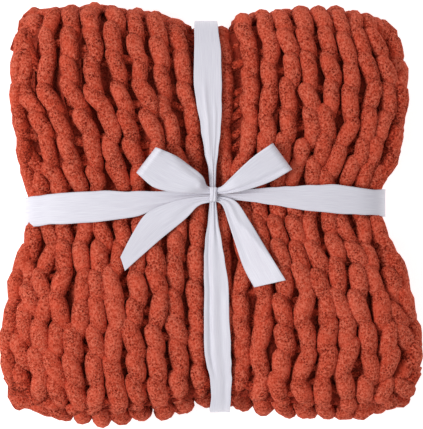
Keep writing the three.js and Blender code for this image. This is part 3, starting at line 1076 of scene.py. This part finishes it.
    def rope(self, lines: YarnLines, path: RopePath, usual: float = -1.0) -> None:
        """Lays overlapping stitches along a path.

        Args:
            lines: takes the stitches.
            path: the way of the rope.
            usual: the side to which most stitches lean.
        """
        count = max(int(round(path.length() / (self.stitch * self.draw.uniform(*self.length_range)))), 2)
        share = np.array(self.rings)
        (tuck_start, tuck_ease), (head_place, head_reach) = self.tuck_stretch, self.head_stretch
        joints = np.arange(count + 1) + self.draw.uniform(*self.joint_range, count + 1)
        joints = joints * path.length() / count
        joints[0], joints[-1] = 0.0, path.length()
        sway = self._sway(path)
        backwards = self.draw.random() < self.backward_share
        for k in range(count):
            start = joints[k] - self.overlap * self.draw.uniform(*self.overlap_range)
            stop = joints[k + 1] + self.overlap * self.draw.uniform(*self.overlap_range)
            run = start + (stop - start) * share
            points, out, side = path.at(run)
            own = share[::-1] if backwards else share
            place = points[len(points) // 2]
            lean = self._slant(place, usual) * self._drift(place)
            bow = self.draw.uniform(-self.bow, self.bow)
            under = -self.tuck * smooth((own - tuck_start) / tuck_ease) * self.draw.uniform(*self.tuck_range)
            head = self.head * np.exp(-np.square((own - head_place) / head_reach))
            head = head - self.start_dip * (1.0 - smooth(own / self.start_reach))
            pressed = self.form.pressed(points)
            rise = under + head * (1 - pressed) - self.press * pressed
            bent = lean * (2 * share - 1) + bow * np.sin(math.pi * share)
            shift = bent * (1 - self.press_straight * pressed) + sway(run)
            girth = self._thickness(points) * self.draw.uniform(*self.girth_range)
            girth = girth * np.interp(own, share, self.swell)
            lines.add(points + out * rise[:, None] + side * shift[:, None], girth, self.draw.uniform(-1, 1),
                      points, out)

    def rungs(self, lines: YarnLines, left: RopePath, right: RopePath) -> None:
        """Lays the short yarns that join two ropes, two for each stitch and a little deeper, in a darker tone
        that paints their shade.

        Args:
            lines: takes the yarns.
            left: the way of the one rope.
            right: the way of the next.
        """
        share = np.linspace(0.0, 1.0, len(self.rung_swell))
        count = int(left.length() / (self.stitch / 2))
        for k in range(1, count):
            if self.draw.random() < self.rung_skip:
                continue
            place = left.length() * (k + self.draw.uniform(*self.rung_place_range)) / count
            across = place / left.length() * right.length()
            a, a_out, _ = left.at(np.array([place]))
            b, b_out, _ = right.at(np.array([across + self.draw.uniform(*self.rung_slant_range)]))
            middle = a + (b - a) * share[:, None]
            out = unit(a_out + (b_out - a_out) * share[:, None])
            depth = self.rung_depth * self.draw.uniform(*self.rung_depth_range)
            depth = depth + self.rung_sag * np.sin(math.pi * share)
            depth = depth + self.rung_pressed * self.form.pressed(middle)
            girth = self.rung * np.array(self.rung_swell) * self.draw.uniform(*self.rung_girth_range)
            # Painted shade: the rungs' tone is drawn only from the darker half.
            lines.add(middle - out * depth[:, None], girth, self.draw.uniform(-1, 0), middle, out)

    def body(self, finish: bpy.types.Material) -> bpy.types.Object:
        """The cloth behind the ropes: the folded layers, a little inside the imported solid.

        Args:
            finish: its material.

        Returns:
            The piece.
        """
        source = bpy.data.objects["blanket"].data.copy()
        work = bmesh.new()
        work.from_mesh(source)
        bmesh.ops.remove_doubles(work, verts=work.verts, dist=1e-5)
        work.normal_update()
        moved = [(vert, vert.co - vert.normal * self.body_depth) for vert in work.verts]
        for vert, place in moved:
            vert.co = place
        mesh = bpy.data.meshes.new("knit_body")
        work.to_mesh(mesh)
        work.free()
        bpy.data.meshes.remove(source)
        mesh.materials.clear()
        mesh.materials.append(finish)
        return mesh_object("knit_body", mesh)

    def build(self, yarn: bpy.types.Material, inner: bpy.types.Material) -> dict[str, bpy.types.Object]:
        """Builds the ropes of the three stretches, the side ropes, the rungs and the body.

        Args:
            yarn: the finish of the stitches.
            inner: the finish of the body behind them, a much darker copy of the yarn's that paints the shade
                in the gaps.

        Returns:
            The pieces by name.
        """
        tree = YarnTree("stitch yarn")
        columns = (np.arange(self.form.ropes) + 0.5) * 2 / self.form.ropes - 1
        values = {"Sides": 10, "Lump Height": 0.0026, "Lump Spacing": 0.010, "Seed": 3.0,
                  "Floor Height": 0.0, "Finish": yarn}
        pieces = {}
        rung_lines = YarnLines()
        for turn in Turn:
            lines = YarnLines()
            before = None
            for u in columns:
                path = self.turn_path(float(u), turn)
                self.rope(lines, path)
                if before is not None:
                    self.rungs(rung_lines, before, path)
                before = path
            name = "knit_ropes_" + turn.value
            pieces[name] = tree.spin(name, lines, values)
            log.info("%s: %d stitches", name, len(lines.points))
        lines = YarnLines()
        for side in (-1, 1):
            for level, above in ((1, 1), (2, -1), (2, 1), (3, -1), (3, 1)):
                self.rope(lines, self.side_path(side, level, above), self.draw.choice([-1.0, 1.0]))
        pieces["knit_ropes_sides"] = tree.spin("knit_ropes_sides", lines, values)
        pieces["knit_rungs"] = tree.spin("knit_rungs", rung_lines, {**values, "Sides": 8})
        pieces["knit_body"] = self.body(inner)
        return pieces


# ---- the ribbon ----------------------------------------------------------------------------
@dataclass(frozen=True)
class Crease:
    """A soft lengthwise trough or ridge in the ribbon.

    Across runs from -1 to 1 between the ribbon's edges, along from 0 at the knot to 1 at the far end.
    """

    across: float
    half_width: float
    height: float
    start: float
    stop: float
    lean: float = 0.0
    ease: ClassVar[float] = 0.12

    def rise(self, across: Array, along: Array) -> Array:
        """Height that it adds at places on the ribbon.

        Args:
            across: places across.
            along: places along.

        Returns:
            The height at each.
        """
        middle = self.across + self.lean * (along - self.start)
        ridge = np.exp(-np.square((across - middle) / self.half_width))
        held = smooth((along - self.start) / self.ease + 0.5) * smooth((self.stop - along) / self.ease + 0.5)
        return self.height * ridge * held


@dataclass
class Ribbon:
    """White satin ribbon, as thin sheets whose lengths are kept by name."""

    form: BundleForm
    finish: bpy.types.Material
    width: float = 0.028
    thickness: float = 0.0004
    strips: int = 16
    lengths: dict = field(default_factory=dict)

    def sheet(self, name: str, grid: Array, out: Array, ring: bool) -> bpy.types.Object:
        """Makes a thin sheet of a grid of points.

        Args:
            name: the piece's name.
            grid: points, row by row along the ribbon.
            out: the way that the sheet's right side faces at its first row.
            ring: whether the last row joins the first.

        Returns:
            The sheet, with the ribbon's thickness.
        """
        rows, columns = grid.shape[:2]
        steps = np.linalg.norm(np.diff(grid[:, columns // 2], axis=0), axis=1)
        along = np.concatenate([[0.0], np.cumsum(steps)])
        self.lengths[name] = float(along[-1])
        first = np.cross(grid[1, 0] - grid[0, 0], grid[0, 1] - grid[0, 0])
        turned = float(np.dot(first, out)) < 0
        faces = []
        for i in range(rows if ring else rows - 1):
            for j in range(columns - 1):
                a, d = i * columns + j, ((i + 1) % rows) * columns + j
                faces.append((a, a + 1, d + 1, d) if turned else (a, d, d + 1, a + 1))
        mesh = finished_mesh(name, grid.reshape(-1, 3).tolist(), faces, self.finish)
        store(mesh, "across", np.tile(np.linspace(-0.5, 0.5, columns) * self.width, rows))
        store(mesh, "along", np.repeat(along, columns))
        mesh.shade_smooth()
        piece = mesh_object(name, mesh)
        solid = piece.modifiers.new("thickness", "SOLIDIFY")
        solid.thickness = self.thickness
        solid.offset = 0.0
        return piece

    @staticmethod
    def creased(creases: Sequence[Crease], across: Array, along: Array) -> Array:
        """Height that several creases add together."""
        return sum(crease.rise(across, along) for crease in creases)


@dataclass
class Bands(Ribbon):
    """The two lengths of ribbon round the bundle."""

    clear: float = 0.0014
    over_crossing: float = 0.0034
    crossing_reach: float = 0.017
    under_half: float = 0.0125
    under_ease: float = 0.12
    lengthwise_rows: int = 280
    crosswise_rows: int = 300
    # Fine pleats where the ribbon is drawn into the knot: height, reach, count, twist, phase.
    pleats: tuple = ((0.0010, 0.034, 9.5, 0.0, 0.7), (0.0007, 0.095, 4.6, 18.0, 1.0))
    # Half widths, and how far the middle strays from its usual line, along each band's upper side.
    lengthwise_widths: tuple = (
        (-1, 0.0098), (-0.93, 0.0094), (-0.84, 0.0106), (-0.78, 0.0122), (-0.70, 0.0128), (-0.58, 0.0120),
        (-0.42, 0.0115), (-0.32, 0.0099), (-0.22, 0.0076), (-0.12, 0.0045), (-0.04, 0.0023), (0.06, 0.0021),
        (0.13, 0.0035), (0.24, 0.0068), (0.35, 0.0094), (0.50, 0.0120), (0.62, 0.0134), (0.78, 0.0129),
        (0.95, 0.0115), (1, 0.0110))
    lengthwise_stray: tuple = (
        (-1, 0.0002), (-0.93, 0.0018), (-0.86, 0.0020), (-0.80, 0.0002), (-0.74, -0.0013), (-0.60, -0.0017),
        (-0.42, 0.0002), (-0.12, 0.0003), (0, -0.0008), (0.10, -0.0018), (0.22, -0.0029), (0.32, -0.0022),
        (0.42, -0.0011), (0.80, -0.0008), (0.95, -0.0019), (1, -0.0019))
    crosswise_widths: tuple = (
        (-1, 0.0136), (-0.96, 0.0147), (-0.86, 0.0145), (-0.80, 0.0151), (-0.60, 0.0147), (-0.44, 0.0124),
        (-0.25, 0.0085), (-0.05, 0.0040), (0.04, 0.0036), (0.22, 0.0062), (0.33, 0.0087), (0.45, 0.0106),
        (0.57, 0.0127), (0.72, 0.0142), (0.85, 0.0131), (0.93, 0.0124), (1, 0.0136))
    crosswise_stray: tuple = (
        (-1, -0.0013), (-0.93, -0.0003), (-0.86, 0.0010), (-0.74, 0.0006), (-0.60, -0.0007), (-0.44, -0.0026),
        (-0.2, -0.0020), (0, -0.0004), (0.25, 0.0008), (0.45, 0.0012), (0.57, 0.0018), (0.70, 0.0027),
        (0.80, 0.0021), (0.88, 0.0012), (1, 0.0005))
    # The lengthwise band's creased halves, near and far: direction, start and how gently they start.
    creased_halves: tuple = ((-1, 0.05, 0.12), (1, 0.04, 0.10))
    # Creases: on the lengthwise band's near and far half, and on the crosswise band's left and right half.
    near_creases: tuple = (
        Crease(-0.56, 0.17, -0.0019, 0.06, 0.82, 0.06), Crease(0.30, 0.30, -0.0009, 0.45, 0.98, 0.25))
    far_creases: tuple = (
        Crease(-0.30, 0.16, 0.0009, 0.05, 0.62, 0.1), Crease(0.42, 0.13, 0.0008, 0.03, 0.5, 0.05))
    left_creases: tuple = (Crease(-0.35, 0.22, 0.0008, 0.10, 0.55, 0.4),)
    right_creases: tuple = (Crease(0.25, 0.20, 0.0010, 0.06, 0.42, 0.6),)

    @staticmethod
    def ring_places(count: int) -> tuple[Array, Array]:
        """Shares along a ring that runs over the top and back underneath.

        Args:
            count: how many places it has.

        Returns:
            The shares, from -1 to 1, and which of them are on the upper side.
        """
        angle = np.linspace(0, 2 * math.pi, count, endpoint=False)
        v = np.sign(np.cos(angle)) * np.sqrt(np.abs(np.cos(angle)))
        return v, np.sin(angle) >= 0

    def over_and_under(self, place: Array, upper: Array, table: tuple, under: float) -> Array:
        """Values from a table on the upper side, easing to one value underneath.

        Args:
            place: shares along the band.
            upper: whether each is on the upper side.
            table: places and values on the upper side.
            under: the value underneath.

        Returns:
            The values.
        """
        above = eased(table, place)
        ease = smooth((1.0 - np.abs(place)) / self.under_ease)
        return np.where(upper, above, above * (1 - ease) + under * ease)

    def gathers(self, across: Array, reach: Array) -> Array:
        """Height of the pleats, at a distance from the knot in metres."""
        return sum(height * np.exp(-np.square(reach / size)) * np.sin(count * across + twist * reach + phase)
                   for height, size, count, twist, phase in self.pleats)

    def lengthwise(self) -> bpy.types.Object:
        """The band along the ropes, with a lengthwise trough by the left edge of its near half.

        Returns:
            The piece.
        """
        v, upper = self.ring_places(self.lengthwise_rows)
        across = np.linspace(-1, 1, 2 * self.strips + 1)
        half = self.over_and_under(v, upper, self.lengthwise_widths, self.under_half)
        stray = self.over_and_under(v, upper, self.lengthwise_stray, 0.0)
        middle, out = self.form.skin(0 * v, v, upper)
        reach = np.abs(v) * self.form.half_length
        over = self.over_crossing * np.exp(-np.power(reach / self.crossing_reach, 4)) * upper
        grid = middle[:, None, :] + np.zeros((1, len(across), 3))
        grid[..., 0] += across * half[:, None] + stray[:, None]
        share, crosswise = np.abs(v)[:, None], across[None, :]
        near_half, far_half = ((smooth((way * v - start) / ease) * upper)[:, None]
                               for way, start, ease in self.creased_halves)
        lift = (self.clear + over)[:, None] + self.gathers(crosswise, reach[:, None]) * upper[:, None]
        lift = lift + self.creased(self.near_creases, crosswise, share) * near_half
        lift = lift + self.creased(self.far_creases, crosswise, share) * far_half
        grid = grid + out[:, None, :] * lift[..., None]
        return self.sheet("ribbon_band_lengthwise", grid, out[0], True)

    def crosswise(self) -> bpy.types.Object:
        """The band across the ropes.

        Returns:
            The piece.
        """
        u, upper = self.ring_places(self.crosswise_rows)
        across = np.linspace(-1, 1, self.strips + 1)
        half = self.over_and_under(u, upper, self.crosswise_widths, self.under_half)
        stray = self.over_and_under(u, upper, self.crosswise_stray, 0.0)
        v = (across[None, :] * half[:, None] + stray[:, None]) / self.form.half_length
        grid, _ = self.form.skin(u[:, None] + 0 * v, v, upper[:, None])
        _, out = self.form.skin(u, 0 * u, upper)
        reach = np.abs(u) * self.form.half_width
        share, lengthwise = np.abs(u)[:, None], across[None, :]
        lift = self.clear + self.gathers(lengthwise, reach[:, None]) * upper[:, None]
        lift = lift + self.creased(self.right_creases, lengthwise, share) * ((u > 0) & upper)[:, None]
        lift = lift + self.creased(self.left_creases, lengthwise, share) * ((u < 0) & upper)[:, None]
        grid = grid + out[:, None, :] * lift[..., None]
        return self.sheet("ribbon_band_crosswise", grid, out[0], True)

    def build(self) -> list[tuple[bpy.types.Object, str, str]]:
        """Builds both bands.

        Returns:
            For each: the object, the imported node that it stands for, and how it is held.
        """
        return [(self.lengthwise(), "ribbon_lengthwise", "stretched"),
                (self.crosswise(), "ribbon_crosswise", "stretched")]


@dataclass
class Bow(Ribbon):
    """The bow: two loops and two tails, held by a knot."""

    over_ropes: float = 0.0040
    down_share: float = 0.35
    tail_rows: int = 60
    tail_pleats: tuple = (0.0006, 0.22, 15.0)  # height, reach, count
    ply_rows: int = 44
    bend_rows: int = 14
    puff: float = 0.0100
    puff_share: float = 0.45
    ply_gap: float = 0.002
    loop_lift: float = 0.0006
    inner_end: float = 0.1
    knot_size: tuple = (0.0062, 0.0146, 0.0062)
    knot_move: tuple = (-0.0004, 0.0006, 0.0)
    knot_lift: float = 0.0037
    knot_sides: int = 84
    knot_rows: int = 24
    knot_waist: float = 0.16
    knot_folds: tuple = ((8, 1.5, 0.095), (13, -1.0, 0.060))  # count, twist, depth
    knot_length: float = 0.010
    up: ClassVar[Array] = np.array([0.0, 0.0, 1.0])
    # Creases of each piece.
    left_loop_creases: tuple = (
        Crease(-0.98, 0.27, -0.0033, 0.12, 0.97), Crease(-0.45, 0.16, 0.0010, 0.10, 0.75, 0.1),
        Crease(0.10, 0.22, 0.0024, -0.1, 0.34, -0.5), Crease(0.75, 0.2, 0.0006, 0.3, 1.1))
    right_loop_creases: tuple = (
        Crease(0.62, 0.13, -0.0016, 0.05, 1.1, 0.1), Crease(0.92, 0.14, 0.0009, 0.2, 1.1),
        Crease(0.05, 0.16, 0.0012, -0.1, 0.6, 0.35), Crease(-0.65, 0.2, -0.0010, -0.1, 0.5, -0.2))
    left_tail_creases: tuple = (
        Crease(-0.25, 0.25, 0.0010, -0.1, 0.5, 0.5), Crease(0.7, 0.25, -0.0009, 0.3, 0.85, -0.2))
    right_tail_creases: tuple = (
        Crease(0.1, 0.22, 0.0011, -0.1, 0.45, -0.6), Crease(-0.6, 0.25, -0.0010, 0.25, 0.8, 0.3),
        Crease(0.55, 0.22, 0.0007, 0.5, 1.1, -0.2))
    # Plans of the bow's pieces in millimetres, from the knot outwards: both edges, (ax, ay, bx, by).
    loop_left: tuple = ((0.6, 25.4, 0.6, 19.8), (-4.1, 27.4, -11, 19.4), (-8, 36.2, -25, 19.9),
                        (-19.5, 45.6, -40, 21.4), (-33, 55.2, -55, 25.8), (-46.8, 61.4, -66.6, 35.4))
    loop_right: tuple = ((3.6, 24.4, 3.6, 19.8), (10, 26.2, 14, 19.4), (18.4, 34, 28, 21.6),
                         (29.5, 45, 44, 26), (42, 55.8, 58.6, 31.6), (53.9, 64.2, 72.3, 39.4))
    tail_left: tuple = ((0.6, 17.2, 0.6, 11.4), (-20.2, 15.6, -11.6, 8), (-41, 10.6, -24.5, -4.8),
                        (-61.5, 0.6, -47, -23.2), (-74.6, -18.4, -64.6, -38.6), (-86.2, -41, -81.8, -54))
    tail_right: tuple = ((3.6, 12.4, 3.6, 17.2), (11, 8, 22.8, 12.8), (17.2, -9.6, 36.4, -5.8),
                         (24.2, -31, 48.6, -26), (31.4, -51.6, 60, -44.8), (41.2, -70, 71.3, -63))

    def plan(self, table: tuple, along: Array, across: Array) -> Array:
        """Places in plan of a bow piece.

        Args:
            table: both edges, row by row, in millimetres.
            along: 0 at the knot to 1 at the end.
            across: 0 to 1 between the edges.

        Returns:
            x and y in metres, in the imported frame.
        """
        rows = np.array(table) / 1000.0
        place = np.clip(along, 0, 1) * (len(rows) - 1)
        k = np.minimum(place.astype(int), len(rows) - 2)
        t = (place - k)[..., None]
        last = len(rows) - 1
        p, a, b, q = rows[np.maximum(k - 1, 0)], rows[k], rows[k + 1], rows[np.minimum(k + 2, last)]
        edges = ((2 * t**3 - 3 * t**2 + 1) * a + (t**3 - 2 * t**2 + t) * (b - p) / 2
                 + (3 * t**2 - 2 * t**3) * b + (t**3 - t**2) * (q - a) / 2)
        across = across[..., None]
        return edges[..., :2] * (1 - across) + edges[..., 2:] * across + self.form.offset()

    def knot_foot(self) -> float:
        """Height of the knot's underside."""
        return float(self.form.surface(0.0, 0.0, True)[2]) + self.knot_lift

    def ground(self, xy: Array, along: Array, foot: float) -> Array:
        """Height on which a piece lies: the ropes' crowns, rising to its place in the knot."""
        crowns = self.form.crown_height(xy[..., 0], xy[..., 1]) + self.over_ropes
        return np.maximum(crowns, foot * (1 - smooth(along / self.down_share)))

    def tail(self, name: str, table: tuple, creases: Sequence[Crease]) -> bpy.types.Object:
        """A free end: it comes out of the knot and lies on the ropes.

        Args:
            name: the piece's name.
            table: its plan.
            creases: its creases.

        Returns:
            The piece.
        """
        rows = np.linspace(0, 1, self.tail_rows)[:, None]
        across = np.linspace(0, 1, self.strips + 1)[None, :] + 0 * rows
        along = rows + 0 * across
        xy = self.plan(table, along, across)
        height, reach, count = self.tail_pleats
        z = self.ground(xy, along, self.knot_foot())
        z = z + height * np.exp(-np.square(along / reach)) * np.sin(count * across)
        z = z + self.creased(creases, 2 * across - 1, along)
        return self.sheet(name, np.concatenate([xy, z[..., None]], axis=-1), self.up, False)

    def loop(self, name: str, table: tuple, creases: Sequence[Crease]) -> bpy.types.Object:
        """A loop: out from the knot on its upper ply, round its bend and back on its lower ply.

        Args:
            name: the piece's name.
            table: its plan.
            creases: those of its upper ply.

        Returns:
            The piece.
        """
        steps, bends = self.ply_rows, self.bend_rows
        along = np.concatenate([np.linspace(0, 1, steps), np.ones(bends),
                                np.linspace(1, self.inner_end, steps)])
        turn = np.concatenate([np.zeros(steps), np.linspace(0, math.pi, bends + 2)[1:-1],
                               np.full(steps, math.pi)])
        across = np.linspace(0, 1, self.strips + 1)[None, :] + 0 * along[:, None]
        along, turn = along[:, None] + 0 * across, turn[:, None] + 0 * across
        base = self.plan(table, along, across)
        ones = np.ones_like(along)
        ahead = unit(self.plan(table, ones, across) - self.plan(table, 0.9 * ones, across))
        gap = self.ply_gap + self.puff * smooth(along / self.puff_share)
        xy = base + ahead * (gap / 2 * np.sin(turn))[..., None]
        ground = self.ground(base, along, self.knot_foot() + self.loop_lift)
        upper = (np.cos(turn) + 1) / 2
        z = ground + gap * upper + self.creased(creases, 2 * across - 1, along) * upper
        return self.sheet(name, np.concatenate([xy, z[..., None]], axis=-1), self.up, False)

    def knot(self) -> bpy.types.Object:
        """The knot: one turn of ribbon pulled tight, drawn into lengthwise creases.

        Returns:
            The piece.
        """
        sides, rows = self.knot_sides, self.knot_rows
        place = np.array([*self.form.plan(0.0, 0.0), self.knot_foot()]) + self.knot_move
        wide, long, high = self.knot_size
        share = np.linspace(-1, 1, rows)[:, None]
        angle = np.linspace(0, 2 * math.pi, sides, endpoint=False)[None, :]
        taper = np.power(np.maximum(1 - np.power(np.abs(share), 5), 0.02), 0.2)
        waist = 1.0 + self.knot_waist * share * share
        fold = 1.0 + sum(depth * np.sin(count * angle + twist * share)
                         for count, twist, depth in self.knot_folds)
        rounded = np.power(np.power(np.abs(np.cos(angle)), 3) + np.power(np.abs(np.sin(angle)), 3), -1 / 3)
        girth = rounded * fold * taper
        x = place[0] + wide / 2 * np.cos(angle) * girth * waist
        z = place[2] + high / 2 + high / 2 * np.sin(angle) * girth
        y = place[1] + long / 2 * share + 0 * angle
        grid = np.stack([x, y, z], axis=-1)
        faces = [(i * sides + j, (i + 1) * sides + j,
                  (i + 1) * sides + (j + 1) % sides, i * sides + (j + 1) % sides)
                 for i in range(rows - 1) for j in range(sides)]
        faces.append(tuple(range(sides)))
        faces.append(tuple(reversed(range((rows - 1) * sides, rows * sides))))
        mesh = finished_mesh("ribbon_knot_wrap", grid.reshape(-1, 3).tolist(), faces, self.finish)
        store(mesh, "across", np.tile(np.linspace(0, self.width, sides), rows))
        store(mesh, "along", np.repeat(np.linspace(0, long, rows), sides))
        mesh.shade_smooth()
        self.lengths["ribbon_knot_wrap"] = self.knot_length
        return mesh_object("ribbon_knot_wrap", mesh)

    def build(self) -> list[tuple[bpy.types.Object, str, str]]:
        """Builds the loops, the tails and the knot.

        Returns:
            For each: the object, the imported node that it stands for, and how it is held.
        """
        pieces = []
        for side, table, creases in (("left", self.loop_left, self.left_loop_creases),
                                     ("right", self.loop_right, self.right_loop_creases)):
            pieces.append((self.loop(f"bow_{side}_loop", table, creases), "bow_loop_" + side, "folded"))
        for side, table, creases in (("left", self.tail_left, self.left_tail_creases),
                                     ("right", self.tail_right, self.right_tail_creases)):
            pieces.append((self.tail(f"bow_{side}_tail", table, creases), "bow_tail_" + side, "laid"))
        return pieces + [(self.knot(), "ribbon_knot", "gathered")]


# ---- studio --------------------------------------------------------------------------------
@dataclass
class Studio:
    """White floor, soft light from the upper left, and a camera straight above."""

    frame_width: float = 0.4061
    aim_height: float = 0.080
    distance: float = 8.0
    shift: tuple = (0.0005, -0.0005)
    sky: float = 0.46
    sky_colour: tuple = (0.98, 0.99, 1.0, 1.0)
    floor_half: float = 60.0
    floor_height: float = -0.0005
    lamps: tuple = (("key", (-1.62, -0.12, 2.02), 0.9, 38.0), ("fill", (0.9, 0.3, 2.4), 1.6, 6.0))

    def build(self, centre: Array) -> None:
        """Builds the floor, the lights and the camera.

        Args:
            centre: middle of the bundle's box.
        """
        corners = [(x * self.floor_half, y * self.floor_half, self.floor_height)
                   for x, y in ((-1, -1), (1, -1), (1, 1), (-1, 1))]
        mesh = finished_mesh("floor", corners, [(0, 1, 2, 3)], FloorFinish().material())
        mesh_object("floor", mesh)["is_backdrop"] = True
        for lamp in self.lamps:
            self._lamp(*lamp)
        scene = bpy.context.scene
        world = bpy.data.worlds.new("studio")
        world.use_nodes = True
        background = world.node_tree.nodes["Background"]
        background.inputs["Color"].default_value = self.sky_colour
        background.inputs["Strength"].default_value = self.sky
        scene.world = world
        camera = bpy.data.cameras.new("camera")
        camera.sensor_fit = "HORIZONTAL"
        camera.lens = camera.sensor_width * self.distance / self.frame_width
        camera.clip_end = 20.0
        holder = bpy.data.objects.new("camera", camera)
        x, y = centre[:2] + np.array(self.shift)
        holder.location = (x, y, self.aim_height + self.distance)
        scene.collection.objects.link(holder)
        scene.camera = holder
        scene.view_settings.view_transform = "Standard"
        scene.view_settings.look = "None"

    def _lamp(self, name: str, place: tuple, size: float, power: float) -> None:
        """A square area lamp that points at the bundle.

        Args:
            name: its name.
            place: where it stands.
            size: the length of its side, in metres.
            power: in watts.
        """
        data = bpy.data.lights.new(name, "AREA")
        data.size = size
        data.energy = power
        lamp = bpy.data.objects.new(name, data)
        lamp.location = place
        away = np.array([0.0, 0.0, self.aim_height]) - np.array(place)
        lamp.rotation_euler = (math.atan2(math.hypot(away[0], away[1]), -away[2]), 0.0,
                               math.atan2(away[0], -away[1]) + math.pi)
        bpy.context.scene.collection.objects.link(lamp)


def main() -> None:
    """Builds the bundle piece by piece."""
    logging.basicConfig(level=logging.INFO, format="%(message)s")
    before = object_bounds()
    form = BundleForm()
    yarn = ChenilleFinish().material()
    # Painted shade: the body seen between the ropes gets a much darker copy of the yarn finish, standing in
    # for the shade there.
    inner = ChenilleFinish(name="chenille_shaded", deep=(0.09, 0.007, 0.004), body=(0.30, 0.028, 0.015),
                           tip=(0.42, 0.06, 0.03), painted_shade=0.0).material()
    knit = Knit(form).build(yarn, inner)
    for piece in knit.values():
        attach(piece, "root")
        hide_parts("blanket")
    satin = SatinFinish().material()
    for ribbon in (Bands(form, satin), Bow(form, satin)):
        for piece, node, held in ribbon.build():
            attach(piece, "root")
            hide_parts(node)
            log.info("%s: %.3f m", piece.name, ribbon.lengths[piece.name])
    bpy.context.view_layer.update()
    Studio().build((np.array(before[0]) + np.array(before[1])) / 2)


if __name__ == "__main__":
    main()
